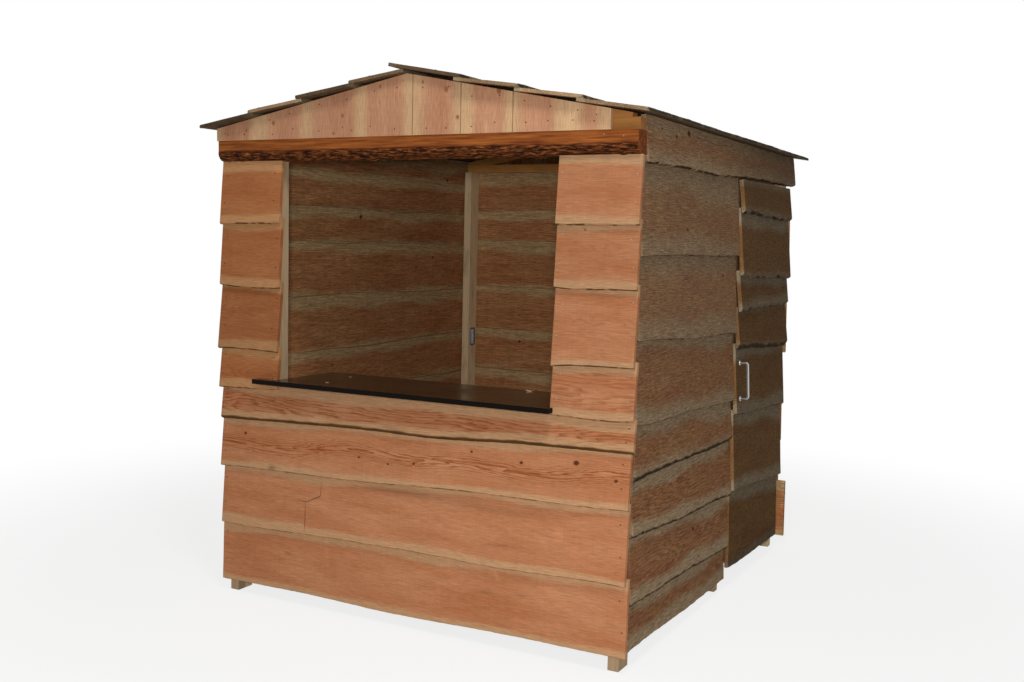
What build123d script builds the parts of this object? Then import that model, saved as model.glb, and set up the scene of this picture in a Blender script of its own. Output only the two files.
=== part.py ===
"""Street kiosk of lapped live-edge boards on post panels, with a serving opening, a side door and a gable roof.

The origin is on the ground at the middle of the kiosk.
X runs to the right along the front, Y to the back, Z up.
Every wall is clad with waney boards that overlap like roof tiles: the upper edge of a board lies on the posts
and its foot lies on the face of the board below.
"""
import os
from math import atan, cos, hypot, pi, radians, sin, tan

from build123d import *

# Frame of posts
frame_width = 1934.0
frame_depth = 2134.0
post_size = 45.0
post_height = 2040.0
seat_gap = 0.3
cut_overrun = 10.0

# Live-edge boards
board_thickness = 20.0
board_lap = 25.0
board_overhang = 33.0
board_back_off = 2.0
top_board_over = 60.0
top_board_rise = 15.0
starter_lift = 10.0
wave_height = 6.0
wave_peak_share = 1.3
lean_limit_share = 0.115
wave_length = 1280.0
fine_wave_length = 560.0
fine_wave_share = 0.3
phase_step_share = 0.618
edge_spacing = 270.0
edge_least_steps = 3

# Serving opening, header beam and counter
sill_height = 980.0
header_height = 88.0
header_depth = 85.0
header_front = 48.0
header_end_over = 33.0
wane_rise = 40.0
wane_depth = 46.0
wane_bulge = 8.0
opening_left = 662.0
opening_right = 671.0
jamb_set_back = 15.0
jamb_foot = 110.0
counter_thickness = 20.0
counter_depth = 430.0
counter_reach = 98.0
counter_side_gap = 7.0
ear_left = 98.0
ear_right = 18.0
ear_gap = 4.0

# Top plates, rafters and gables
plate_height = 45.0
plate_depth = 58.0
plate_set_back = 31.0
rafter_depth = 45.0
rafter_heel = 16.5
roof_pitch = 10.8
gable_thickness = 20.0
gable_joint = 3.0
gable_end_over = 37.0

# Roof boards
eave_overhang = 91.0
ridge_lap = 75.0
roof_end_spread = 16.0
roof_board_thickness = 14.0

# Side door
door_jamb_front = 90.0
panel_end = 148.0
door_front = 156.0
door_front_inset = 6.0
door_proud = 15.0
stile_foot = 120.0
stile_head = 20.0
hinge_gap = 10.0
hinge_board_gap = 7.0

# Butt hinges
leaf_thickness = 2.5
leaf_width = 42.0
leaf_height = 75.0
knuckle_radius = 6.0
knuckle_stand_off = 2.0
knuckle_gap = 0.4
pin_radius = 3.0
pin_play = 0.05

# Bow handle
handle_centres = 168.0
handle_reach = 46.0
handle_bar = 10.0
handle_edge = 1.5
handle_bend = 12.0
rose_radius = 11.0
rose_thickness = 4.0
handle_inset = 48.0
boards_under_handle_count = 2

# Corner latches
latch_width = 62.0
latch_height = 110.0
latch_plate = 2.5
latch_lever_width = 14.0
latch_lever_rise = 12.0
latch_corner = 10.0
latch_level = 1040.0

# Height of each board's foot, left and right end, lowest board first
front_lower_shares = ((0.052, 0.063), (0.326, 0.351), (0.593, 0.646), (0.816, 0.866))
front_left_shares = ((-0.041, -0.026), (0.140, 0.140), (0.435, 0.430), (0.713, 0.720))
front_right_shares = ((-0.014, -0.010), (0.179, 0.193), (0.488, 0.487), (0.730, 0.733))
right_panel_shares = (
    (0.035, 0.024), (0.127, 0.101), (0.255, 0.223), (0.361, 0.355),
    (0.466, 0.444), (0.620, 0.600), (0.774, 0.776),
)
right_top_shares = (0.943, 0.957)
door_shares = (
    (0.052, 0.038), (0.234, 0.203), (0.411, 0.389), (0.564, 0.547),
    (0.648, 0.653), (0.731, 0.717), (0.873, 0.867),
)
door_top_share = 0.949
left_wall_shares = (
    (0.026, 0.030), (0.126, 0.133), (0.264, 0.258), (0.395, 0.397),
    (0.512, 0.502), (0.641, 0.643), (0.770, 0.776), (0.862, 0.858),
)
left_top_shares = (0.948, 0.942)
back_wall_shares = (
    (0.028, 0.031), (0.165, 0.158), (0.284, 0.290), (0.404, 0.402),
    (0.520, 0.524), (0.655, 0.651), (0.784, 0.788), (0.880, 0.876),
)

# How far each board runs past the posts, as shares of the usual overhang, lowest board first
front_lower_left_shares = (0.73, 0.55, 0.73, 0.52)
front_lower_right_shares = (1.10, 0.94, 1.03, 1.50)
front_left_end_shares = (0.75, 0.95, 0.90, 0.90)
front_right_end_shares = (1.45, 1.25, 1.25, 1.28)
back_left_shares = (0.70, 0.55, 0.90, 0.60, 0.85, 0.50, 0.95, 0.75)
back_right_shares = (2.00, 0.60, 0.75, 0.50, 0.90, 0.65, 0.80, -0.10)
door_end_shares = (0.10, 0.60, 0.30, 1.00, 0.70, 0.20, 0.90)

# Joints between the front gable boards, from the left end to the right end of the frame
gable_joint_shares = (0.0, 0.122, 0.250, 0.390, 0.515, 0.627, 0.742, 0.854, 0.945)
back_gable_shares = (0.0, 0.125, 0.250, 0.375, 0.500, 0.625, 0.750, 0.875, 0.978)
roof_end_shares = (0.0, 0.7, 0.3, 1.0)
roof_board_count = 4
hinge_level_shares = (0.13, 0.50, 0.87)

# Faces, heights and planes that follow from the driving dimensions
half_width = frame_width / 2
wave_reach = wave_height * wave_peak_share
half_depth = frame_depth / 2
inner_width = half_width - post_size
plate_top = post_height + plate_height
header_bottom = post_height - header_height
ridge_height = plate_top + rafter_heel + half_width * tan(radians(roof_pitch))
roof_front = half_depth + counter_reach
slope_length = (half_width + eave_overhang) / cos(radians(roof_pitch))
door_rear = half_depth - post_size - hinge_gap
door_top = post_height * door_top_share
door_face = half_width + door_proud
axis_x = door_face + knuckle_radius + knuckle_stand_off
axis_y = door_rear + hinge_gap / 2

front_wall = Plane((0, -half_depth, 0), x_dir=(1, 0, 0), z_dir=(0, -1, 0))
right_wall = Plane((half_width, 0, 0), x_dir=(0, 1, 0), z_dir=(1, 0, 0))
door_wall = Plane((door_face, 0, 0), x_dir=(0, 1, 0), z_dir=(1, 0, 0))
back_wall = Plane((0, half_depth, 0), x_dir=(-1, 0, 0), z_dir=(0, 1, 0))
left_wall = Plane((-half_width, 0, 0), x_dir=(0, -1, 0), z_dir=(-1, 0, 0))
slope_sine = sin(radians(roof_pitch))
slope_cosine = cos(radians(roof_pitch))
right_slope = Plane((0, 0, ridge_height), x_dir=(0, 1, 0), z_dir=(slope_sine, 0, slope_cosine))
left_slope = Plane((0, 0, ridge_height), x_dir=(0, -1, 0), z_dir=(-slope_sine, 0, slope_cosine))


def live_edge(start, end, start_level, end_level, wave, phase):
    """Points of a waney edge: a straight line plus a long and a short sine wave that fade out at both ends."""
    points = []
    length = abs(end - start)
    steps = max(edge_least_steps, round(length / edge_spacing))
    for step in range(steps + 1):
        share = step / steps
        swing = sin(2 * pi * (share * length / wave_length + phase))
        swing += fine_wave_share * sin(2 * pi * (share * length / fine_wave_length + 2 * phase))
        level = start_level + (end_level - start_level) * share + wave * swing * sin(pi * share)
        points.append((start + (end - start) * share, level))
    return points


def add_board(face, ends, foot, head, rest, lift, slope, waves, phase, thickness):
    """Adds one board and returns its outer face.

    Its inner face stands off the wall by lift along the line from one rest height to the other.
    Below that line it leans out.
    """
    left, right = ends
    lean = atan(slope)
    along = (face.x_dir * (right - left) + face.y_dir * (rest[1] - rest[0])).normalized()
    outward = face.z_dir * cos(lean) + face.z_dir.cross(along) * sin(lean)
    inner = Plane(face.from_local_coords(Vector(left, rest[0], lift)), x_dir=along, z_dir=outward)
    length = hypot(right - left, rest[1] - rest[0])
    feet = [(level - line) / cos(lean) for level, line in zip(foot, rest)]
    heads = [(level - line) / cos(lean) - thickness * slope for level, line in zip(head, rest)]
    plumb = (rest[1] - rest[0]) / length
    lower = live_edge(feet[0] * plumb, length + feet[1] * plumb, feet[0], feet[1], waves[0], phase)
    upper = live_edge(length + heads[1] * plumb, heads[0] * plumb, heads[1], heads[0], waves[1], phase)
    with BuildSketch(inner) as outline:
        with BuildLine():
            Spline(*lower)
            Line(lower[-1], upper[0])
            if waves[1]:
                Spline(*upper)
            else:
                Line(upper[0], upper[-1])
            Line(upper[-1], lower[0])
        make_face()
    extrude(outline.sketch, amount=thickness)
    return inner.offset(thickness)


def face_below(below, end, level):
    """How far the face of the board below stands off the wall, with clearance, at one end and height."""
    slope, rest, lift, thickness = below
    return lift + slope * (rest[end] - level) + thickness / cos(atan(slope)) + seat_gap


def seat_on(below, rest, foot):
    """Slope and lift that lay a board on the one below, from its own foot to the other's head, at both ends.

    A narrow board that would lean too far keeps the steepest slope and stands off the posts instead.
    """
    places = [(end, level) for end in (0, 1) for level in (foot[end] - wave_reach, below[1][end])]
    needed = max((face_below(below, end, level) - seat_gap) / (rest[end] - level) for end, level in places)
    slope = min(needed, lean_limit_share)
    lift = max(face_below(below, end, level) - slope * (rest[end] - level) for end, level in places)
    return slope, max(lift, seat_gap)


def clad(face, ends, feet, top, below=None, seed=0, thickness=board_thickness):
    """Adds lapped boards from the foot up and returns their outer faces, and how the last board lies.

    How a board lies is its slope, the heights where it rests, its lift off the wall and its thickness.
    """
    faces = []
    for index, (span, foot) in enumerate(zip(ends, feet)):
        last = index == len(feet) - 1
        head = top if last else tuple(level + board_lap for level in feet[index + 1])
        rest = top if last else tuple(level + wave_reach for level in head)
        if below is None:
            slope, lift = starter_lift / (max(rest) - min(foot)), seat_gap
        else:
            slope, lift = seat_on(below, rest, foot)
        waves = (wave_height, 0 if last else wave_height)
        phase = (seed + index) * phase_step_share
        faces.append(add_board(face, span, foot, head, rest, lift, slope, waves, phase, thickness))
        below = (slope, rest, lift, thickness)
    return faces, below


def levels(shares, height, base=0):
    """Turns pairs of shares into heights above the ground."""
    return [(base + height * left, base + height * right) for left, right in shares]


def add_post(left, front, bottom, top):
    """Adds a square post with its left front corner at the given place."""
    with BuildSketch(Plane.XY.offset(bottom)) as section:
        with Locations((left, front)):
            Rectangle(post_size, post_size, align=(Align.MIN, Align.MIN))
    extrude(section.sketch, amount=top - bottom)


def slope_level(distance):
    """Height of the top of the rafters at a distance from the middle."""
    return ridge_height - abs(distance) * tan(radians(roof_pitch))


def add_gable_boards(plane, shares, bottom, depth):
    """Adds upright boards side by side, cut at the top along the rafters, one of them over the ridge."""
    for start, end in zip(shares, shares[1:]):
        left = -half_width - gable_end_over + start * (frame_width + 2 * gable_end_over)
        right = -half_width - gable_end_over + end * (frame_width + 2 * gable_end_over) - gable_joint
        tops = [(right, slope_level(right) - seat_gap), (left, slope_level(left) - seat_gap)]
        if left < 0 < right:
            tops.insert(1, (0, slope_level(0) - seat_gap))
        with BuildSketch(plane) as outline:
            with BuildLine():
                Polyline((left, bottom), (right, bottom), *tops, close=True)
            make_face()
        extrude(outline.sketch, amount=depth)


def add_rafters(plane):
    """Adds a pair of rafters that meet at the ridge and stand with their feet cut flat on the top plate."""
    seat = plate_top + seat_gap
    ridge_cut = seat_gap / 2
    under = rafter_depth / cos(radians(roof_pitch))
    heel = (ridge_height - under - seat) / tan(radians(roof_pitch))
    for side in (-1, 1):
        corners = [
            (side * heel, seat),
            (side * half_width, seat),
            (side * half_width, slope_level(half_width)),
            (side * ridge_cut, slope_level(ridge_cut)),
            (side * ridge_cut, slope_level(ridge_cut) - under),
        ]
        with BuildSketch(plane) as outline:
            with BuildLine():
                Polyline(*corners, close=True)
            make_face()
        extrude(outline.sketch, amount=post_size)


# Posts of the four wall panels: every panel has its own post at each corner
with BuildPart() as front_posts:
    for left in (-half_width, inner_width):
        add_post(left, -half_depth, 0, header_bottom - seat_gap)

with BuildPart() as back_posts:
    for left in (-half_width, inner_width):
        add_post(left, half_depth - post_size, 0, post_height - seat_gap)

with BuildPart() as left_posts:
    for front in (-half_depth + post_size + seat_gap, half_depth - 2 * post_size - seat_gap):
        add_post(-half_width, front, 0, post_height - seat_gap)

with BuildPart() as right_posts:
    for front in (-half_depth + post_size + seat_gap, door_jamb_front):
        add_post(inner_width, front, 0, post_height - seat_gap)

# Studs beside the serving opening and the rail between them that carries the counter
jamb_left = -opening_left - jamb_set_back
jamb_right = opening_right + jamb_set_back
with BuildPart() as jamb_studs:
    for left in (jamb_left - post_size, jamb_right):
        add_post(left, -half_depth, jamb_foot, header_bottom - seat_gap)

with BuildPart() as sill_rail:
    with BuildSketch(Plane.XY.offset(sill_height - seat_gap)):
        with Locations((jamb_left + seat_gap, -half_depth)):
            Rectangle(jamb_right - jamb_left - 2 * seat_gap, post_size, align=(Align.MIN, Align.MIN))
    extrude(amount=-post_size)

# Header: a heavy beam with its lower front edge left as the round of the log
header_face = -half_depth - header_front
with BuildPart() as header_beam:
    with BuildSketch(Plane.YZ.offset(-half_width - header_end_over)):
        with BuildLine():
            wane_start = (header_face + wane_depth, header_bottom)
            wane_end = (header_face, header_bottom + wane_rise)
            wane_middle = (
                header_face + wane_depth / 2 - wane_bulge,
                header_bottom + wane_rise / 2 - wane_bulge,
            )
            ThreePointArc(wane_start, wane_middle, wane_end)
            Polyline(
                wane_end,
                (header_face, post_height),
                (header_face + header_depth, post_height),
                (header_face + header_depth, header_bottom),
                wane_start,
            )
        make_face()
    extrude(amount=frame_width + 2 * header_end_over)

# Top plates under both gables
plate_front = -half_depth - plate_set_back
with BuildPart() as front_top_plate:
    with BuildSketch(Plane.XY.offset(post_height + seat_gap)):
        with Locations((0, plate_front)):
            Rectangle(frame_width + 2 * header_end_over, plate_depth, align=(Align.CENTER, Align.MIN))
    extrude(amount=plate_height - seat_gap)

with BuildPart() as back_top_plate:
    with BuildSketch(Plane.XY.offset(post_height)):
        with Locations((0, half_depth - plate_depth)):
            Rectangle(frame_width, plate_depth, align=(Align.CENTER, Align.MIN))
    extrude(amount=plate_height)

# Rafters behind the gable boards, and the gable boards
with BuildPart() as front_rafters:
    add_rafters(Plane.XZ.offset(-plate_front - post_size))

with BuildPart() as back_rafters:
    add_rafters(Plane.XZ.offset(-half_depth))

with BuildPart() as front_gable_boards:
    gable_foot = post_height + seat_gap
    add_gable_boards(Plane.XZ.offset(-plate_front + seat_gap), gable_joint_shares, gable_foot, gable_thickness)

with BuildPart() as back_gable_boards:
    add_gable_boards(Plane.XZ.offset(-half_depth - seat_gap), back_gable_shares, gable_foot, -gable_thickness)

# Front wall: four long boards under the counter and short boards on both sides of the opening
with BuildPart() as front_lower_boards:
    front_ends = [
        (-half_width - board_overhang * left, half_width + board_overhang * right)
        for left, right in zip(front_lower_left_shares, front_lower_right_shares)
    ]
    sill_top = sill_height - seat_gap
    front_feet = levels(front_lower_shares, sill_height)
    front_below = clad(front_wall, front_ends, front_feet, (sill_top, sill_top))[1]

short_top = header_bottom - seat_gap
opening_height = header_bottom - sill_height
with BuildPart() as front_left_boards:
    left_ends = [(-half_width - board_overhang * share, -opening_left) for share in front_left_end_shares]
    left_feet = levels(front_left_shares, opening_height, sill_height)
    clad(front_wall, left_ends, left_feet, (short_top, short_top), front_below, seed=4)

with BuildPart() as front_right_boards:
    right_ends = [(opening_right, half_width + board_overhang * share) for share in front_right_end_shares]
    right_feet = levels(front_right_shares, opening_height, sill_height)
    clad(front_wall, right_ends, right_feet, (short_top, short_top), front_below, seed=9)

# Side and back walls
side_front = -half_depth + board_back_off
side_rear = half_depth - board_back_off
side_top = plate_top + top_board_rise
under_header = header_bottom - seat_gap
behind_header = header_face + header_depth + board_back_off
with BuildPart() as left_wall_boards:
    wall_ends = [(-side_rear, -side_front)] * len(left_wall_shares)
    wall_feet = levels(left_wall_shares, post_height)
    left_below = clad(left_wall, wall_ends, wall_feet, (under_header, under_header), seed=13)[1]

with BuildPart() as left_top_board:
    left_top_feet = levels((left_top_shares,), post_height)
    clad(left_wall, [(-side_rear, -behind_header)], left_top_feet, (side_top, side_top), left_below, seed=22)

with BuildPart() as back_wall_boards:
    back_ends = [
        (-half_width - board_overhang * right, half_width + board_overhang * left)
        for left, right in zip(back_left_shares, back_right_shares)
    ]
    back_top = post_height - seat_gap
    clad(back_wall, back_ends, levels(back_wall_shares, post_height), (back_top, back_top), seed=21)

with BuildPart() as right_panel_boards:
    panel_ends = [(side_front, panel_end)] * len(right_panel_shares)
    panel_feet = levels(right_panel_shares, post_height)
    panel_below = clad(right_wall, panel_ends, panel_feet, (under_header, under_header), seed=31)[1]

with BuildPart() as right_top_board:
    right_top_feet = levels((right_top_shares,), post_height)
    top_ends = [(behind_header, half_depth + top_board_over)]
    clad(right_wall, top_ends, right_top_feet, (side_top, side_top), panel_below, seed=39)

# Roof boards: lapped like the walls, from the eave to the ridge, and the last right board covers the ridge
roof_exposure = slope_length / roof_board_count
roof_feet = [(index * roof_exposure - slope_length,) * 2 for index in range(roof_board_count)]
roof_reaches = [roof_front - roof_end_spread * share for share in roof_end_shares]
roof_ends = [(-reach, reach) for reach in roof_reaches]
with BuildPart() as roof_left_boards:
    left_head = (-seat_gap, -seat_gap)
    left_roof_below = clad(
        left_slope, roof_ends, roof_feet, left_head, seed=43, thickness=roof_board_thickness,
    )[1]

with BuildPart() as roof_right_boards:
    ridge_foot = roof_feet[-1]
    lower_head = (ridge_foot[0] + board_lap, ridge_foot[1] + board_lap)
    below_ridge = clad(
        right_slope, roof_ends[:-1], roof_feet[:-1], lower_head, seed=43, thickness=roof_board_thickness,
    )[1]
    ridge_line = (0, 0)
    ridge_lift = face_below(left_roof_below, 0, 0)
    ridge_seats = (ridge_foot[0] - wave_reach, below_ridge[1][0])
    ridge_slope = max((face_below(below_ridge, 0, level) - ridge_lift) / -level for level in ridge_seats)
    add_board(
        right_slope, roof_ends[-1], ridge_foot, (ridge_lap, ridge_lap), ridge_line, ridge_lift, ridge_slope,
        (wave_height, wave_height), phase_step_share, roof_board_thickness,
    )

# Counter: a sheet that passes between the boards of the opening, with an ear in front of them at each end
counter_front = -half_depth - counter_reach
board_faces = [piece.part.bounding_box().min.Y for piece in (front_left_boards, front_right_boards)]
ear_back = min(board_faces) - ear_gap
counter_left = -opening_left + counter_side_gap
counter_right = opening_right - counter_side_gap
with BuildPart() as counter:
    with BuildSketch(Plane.XY.offset(sill_height)):
        with BuildLine():
            Polyline(
                (-opening_left - ear_left, counter_front),
                (opening_right + ear_right, counter_front),
                (opening_right + ear_right, ear_back),
                (counter_right, ear_back),
                (counter_right, counter_front + counter_depth),
                (counter_left, counter_front + counter_depth),
                (counter_left, ear_back),
                (-opening_left - ear_left, ear_back),
                close=True,
            )
        make_face()
    extrude(amount=counter_thickness)

# Latches that hold the wall panels together, inside three corners
with BuildPart() as corner_latches:
    front_joint = -half_depth + post_size
    corners = ((-inner_width, front_joint, 1), (inner_width, front_joint, -1), (-inner_width, -front_joint, 1))
    for face_x, joint_y, inward in corners:
        base = Plane((face_x + inward * seat_gap, joint_y, latch_level), x_dir=(0, 1, 0), z_dir=(inward, 0, 0))
        with BuildSketch(base) as plate:
            Rectangle(latch_width, latch_height)
            chamfer(plate.vertices(), latch_corner)
        extrude(plate.sketch, amount=latch_plate)
        with BuildSketch(base.offset(latch_plate)) as lever:
            SlotOverall(latch_height - latch_lever_width, latch_lever_width, rotation=90)
        extrude(lever.sketch, amount=latch_lever_rise)

# Door: lapped boards on two stiles
with BuildPart() as door_boards:
    door_board_rear = door_rear - hinge_board_gap
    door_ends = [(door_front + door_front_inset * share, door_board_rear) for share in door_end_shares]
    door_feet = levels(door_shares, post_height)
    door_faces = clad(door_wall, door_ends, door_feet, (door_top, door_top), seed=51)[0]

with BuildPart() as door_stiles:
    for front in (door_front + door_front_inset, door_rear - post_size):
        add_post(door_face - post_size, front, stile_foot, door_top - stile_head)

# Bow handle on the middle of the third board of the door
with BuildPart() as door_handle:
    handle_face = door_faces[boards_under_handle_count]
    foot_below, foot_above = door_feet[boards_under_handle_count : boards_under_handle_count + 2]
    handle_height = (foot_below[0] + foot_above[0]) / 2
    handle_local = handle_face.to_local_coords(Vector(door_face, door_front + handle_inset, handle_height))
    handle_origin = handle_face.from_local_coords(Vector(handle_local.X, handle_local.Y, seat_gap))
    foot_plane = Plane(handle_origin, x_dir=handle_face.x_dir, z_dir=handle_face.z_dir)
    grip_plane = Plane(foot_plane.origin, x_dir=foot_plane.y_dir, z_dir=foot_plane.x_dir)
    half_centres = handle_centres / 2
    bar_reach = handle_reach - handle_bar / 2
    with BuildLine(grip_plane) as grip_path:
        FilletPolyline(
            (-half_centres, 0), (-half_centres, bar_reach), (half_centres, bar_reach), (half_centres, 0),
            radius=handle_bend,
        )
    grip_start = Plane(grip_path.wire() @ 0, x_dir=foot_plane.x_dir, z_dir=foot_plane.z_dir)
    with BuildSketch(grip_start) as grip_section:
        Rectangle(handle_bar, handle_bar)
        chamfer(grip_section.vertices(), handle_edge)
    sweep(grip_section.sketch, path=grip_path.wire())
    with BuildSketch(foot_plane) as roses:
        with Locations((0, -half_centres), (0, half_centres)):
            Circle(rose_radius)
    extrude(roses.sketch, amount=rose_thickness)

# Butt hinges: a leaf on the door's stile and one on the corner post, with three knuckles on one pin
hinge_levels = [stile_foot + share * (door_top - stile_head - stile_foot) for share in hinge_level_shares]
knuckle_height = leaf_height / 3
leaf_inner = door_face - leaf_width


def add_leaf(front, bottom):
    """Adds a hinge leaf that reaches from the wood to the hinge axis."""
    with BuildSketch(Plane.XY.offset(bottom)) as section:
        with Locations((leaf_inner, front)):
            Rectangle(axis_x - leaf_inner, leaf_thickness, align=(Align.MIN, Align.MIN))
    extrude(section.sketch, amount=leaf_height)


def add_round(radius, bottom, height, mode=Mode.ADD):
    """Adds or cuts a round bar on the hinge axis."""
    with BuildSketch(Plane.XY.offset(bottom)) as section:
        with Locations((axis_x, axis_y)):
            Circle(radius)
    extrude(section.sketch, amount=height, mode=mode)


with BuildPart() as hinge_post_leaves:
    for level in hinge_levels:
        foot = level - leaf_height / 2
        add_leaf(door_rear + hinge_gap - leaf_thickness - seat_gap, foot)
        add_round(
            knuckle_radius + knuckle_gap, foot + knuckle_height - knuckle_gap, knuckle_height + 2 * knuckle_gap,
            Mode.SUBTRACT,
        )
        add_round(knuckle_radius, foot, knuckle_height - knuckle_gap)
        add_round(knuckle_radius, foot + 2 * knuckle_height + knuckle_gap, knuckle_height - knuckle_gap)
        add_round(pin_radius, foot, leaf_height)

with BuildPart() as hinge_door_leaves:
    for level in hinge_levels:
        foot = level - leaf_height / 2
        add_leaf(door_rear + seat_gap, foot)
        clear_radius = knuckle_radius + knuckle_gap
        add_round(clear_radius, foot - cut_overrun, knuckle_height + cut_overrun, Mode.SUBTRACT)
        add_round(clear_radius, foot + 2 * knuckle_height, knuckle_height + cut_overrun, Mode.SUBTRACT)
        add_round(knuckle_radius, foot + knuckle_height, knuckle_height)
        add_round(pin_radius + pin_play, foot, leaf_height, Mode.SUBTRACT)

pieces = {
    "front_posts": front_posts,
    "back_posts": back_posts,
    "left_posts": left_posts,
    "right_posts": right_posts,
    "jamb_studs": jamb_studs,
    "sill_rail": sill_rail,
    "header_beam": header_beam,
    "front_top_plate": front_top_plate,
    "back_top_plate": back_top_plate,
    "front_rafters": front_rafters,
    "back_rafters": back_rafters,
    "front_gable_boards": front_gable_boards,
    "back_gable_boards": back_gable_boards,
    "front_lower_boards": front_lower_boards,
    "front_left_boards": front_left_boards,
    "front_right_boards": front_right_boards,
    "left_wall_boards": left_wall_boards,
    "left_top_board": left_top_board,
    "back_wall_boards": back_wall_boards,
    "right_panel_boards": right_panel_boards,
    "right_top_board": right_top_board,
    "roof_left_boards": roof_left_boards,
    "roof_right_boards": roof_right_boards,
    "counter": counter,
    "corner_latches": corner_latches,
    "door_boards": door_boards,
    "door_stiles": door_stiles,
    "door_handle": door_handle,
    "hinge_post_leaves": hinge_post_leaves,
    "hinge_door_leaves": hinge_door_leaves,
}
os.makedirs("parts", exist_ok=True)
for name, piece in pieces.items():
    piece.part.label = name
    export_step(piece.part, f"parts/{name}.step")
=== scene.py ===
"""Looks of the street kiosk: lapped live-edge boards on square posts, upright gable boards, a heavy
header with its bark left on, a film-faced counter and a boarded side door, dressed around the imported
frame."""

from math import radians
from types import SimpleNamespace

import bpy
import numpy as np
from mathutils import Matrix, Vector


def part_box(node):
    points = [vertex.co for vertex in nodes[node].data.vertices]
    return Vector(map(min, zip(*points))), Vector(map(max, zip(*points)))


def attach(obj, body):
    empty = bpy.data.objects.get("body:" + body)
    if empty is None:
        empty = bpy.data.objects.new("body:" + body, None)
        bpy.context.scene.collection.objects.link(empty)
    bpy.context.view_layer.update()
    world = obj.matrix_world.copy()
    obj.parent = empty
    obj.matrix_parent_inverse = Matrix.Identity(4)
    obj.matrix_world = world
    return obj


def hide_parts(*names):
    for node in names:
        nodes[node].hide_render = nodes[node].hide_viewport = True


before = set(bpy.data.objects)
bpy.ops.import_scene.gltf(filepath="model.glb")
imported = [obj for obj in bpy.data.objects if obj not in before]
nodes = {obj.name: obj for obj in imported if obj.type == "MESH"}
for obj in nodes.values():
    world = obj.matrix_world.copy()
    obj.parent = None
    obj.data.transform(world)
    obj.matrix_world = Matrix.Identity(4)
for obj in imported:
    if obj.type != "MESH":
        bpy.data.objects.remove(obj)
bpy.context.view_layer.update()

mm = 0.001

# Directions of the walls and the roof, in the part's own frame
front, back = np.array([0.0, -1.0, 0.0]), np.array([0.0, 1.0, 0.0])
left, right = np.array([-1.0, 0.0, 0.0]), np.array([1.0, 0.0, 0.0])
up = np.array([0.0, 0.0, 1.0])

# Camera, worked out from the corners of the kiosk in the photograph of 1024 by 682 pixels
image_width = 1024
focal_pixels = 1114.4
sensor_width = 36.0
camera_place = (2.5289, -4.9020, 1.6205)
camera_yaw, camera_pitch, camera_roll = 0.4915, -0.0879, -0.0226

# Reading the boards of a node
weld = 0.01 * mm
facing_share = 0.9
above_foot = 5 * mm
smooth_angle = radians(38)

# Section of a board: how much of the wane and of the thickness each point of the rounded edge takes
wane_inset_shares = (0.0, 0.42)
wane_depth_shares = (0.62, 0.2)
inner_arris = 1.5 * mm
end_arris = 1.2 * mm
tips = [0, -1]

# Waves along the boards, by their lengths in metres
ragged_lengths = (0.037, 0.071, 0.13, 0.29)
wane_lengths = (0.11, 0.29, 0.83)
side_lengths = (0.63, 1.37)
sap_lengths = (0.55, 1.3, 2.9)
cup_lengths = (0.17, 0.41)
bark_lengths = (0.047, 0.13, 0.37)

# Cup and chatter of the outer face: height, then shares and slants of the waves that make it up
relief = 0.5 * mm
along_share, across_share, across_slant = 0.6, 0.5, 0.3
upright_share, upright_slant = 0.8, 0.4

# Log that the boards were sawn from
side_drift = 14 * mm
pith_spread = 0.15
sap_reach = 30 * mm
knot_reach = 3.5
knot_oval = 1.25
knot_swell, knot_swell_length, knot_swell_height = 1.5, 3.0, 1.8
knot_chances = ((0.04, -1.0, 0.0), (0.96, 1.0, 1.0))
whole_bark, patchy_bark = 1.01, 0.9
bark_soft = 0.2
grain_steps, grain_spans = (11.7, 3.1), (53.0, 17.0)


def in_mm(*lengths):
    """A row of lengths given in millimetres, in metres."""
    return tuple(length * mm for length in lengths)


def unit(vector):
    """The vector, or each row of vectors, divided by its own length."""
    return vector / np.linalg.norm(vector, axis=-1, keepdims=True)


def pick(values, place):
    """The value for one board, from a row of values that is gone through again and again."""
    return values[place % len(values)]


def step(low, high, x):
    """Rises smoothly from 0 at low to 1 at high: three times the square less twice the cube of the
    share."""
    share = np.clip((x - low) / (high - low), 0.0, 1.0)
    return share * share * (3.0 - 2.0 * share)


def waves(x, seed, lengths, height):
    """A wandering line: sines of the given wave lengths, each from its own seeded phase, added up and
    scaled so that the sum mostly stays within plus and minus height."""
    phases = np.random.default_rng(seed).uniform(0.0, 2.0 * np.pi, len(lengths))
    turns = 2.0 * np.pi * np.asarray(x)[..., None] / np.array(lengths)
    return height * np.sin(turns + phases).sum(axis=-1) / len(lengths) ** 0.5


def rough(x, y, seed, length, height, octaves=4):
    """Roughness over a surface: octaves of four plane sine waves in seeded directions, each octave with
    half the length and 0.6 of the height of the one before, folded so that troughs are broad and ridges
    sharp."""
    rng = np.random.default_rng(seed)
    total = np.zeros(np.broadcast(x, y).shape)
    for octave in range(octaves):
        for angle, phase in rng.uniform(0.0, 2.0 * np.pi, (4, 2)):
            turn = 2.0 * np.pi * (np.cos(angle) * x + np.sin(angle) * y) / (length * 0.5 ** octave)
            total += 0.6 ** octave * np.sin(turn + phase + total)
    return height * (0.5 - np.abs(total) / 4.0)


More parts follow.
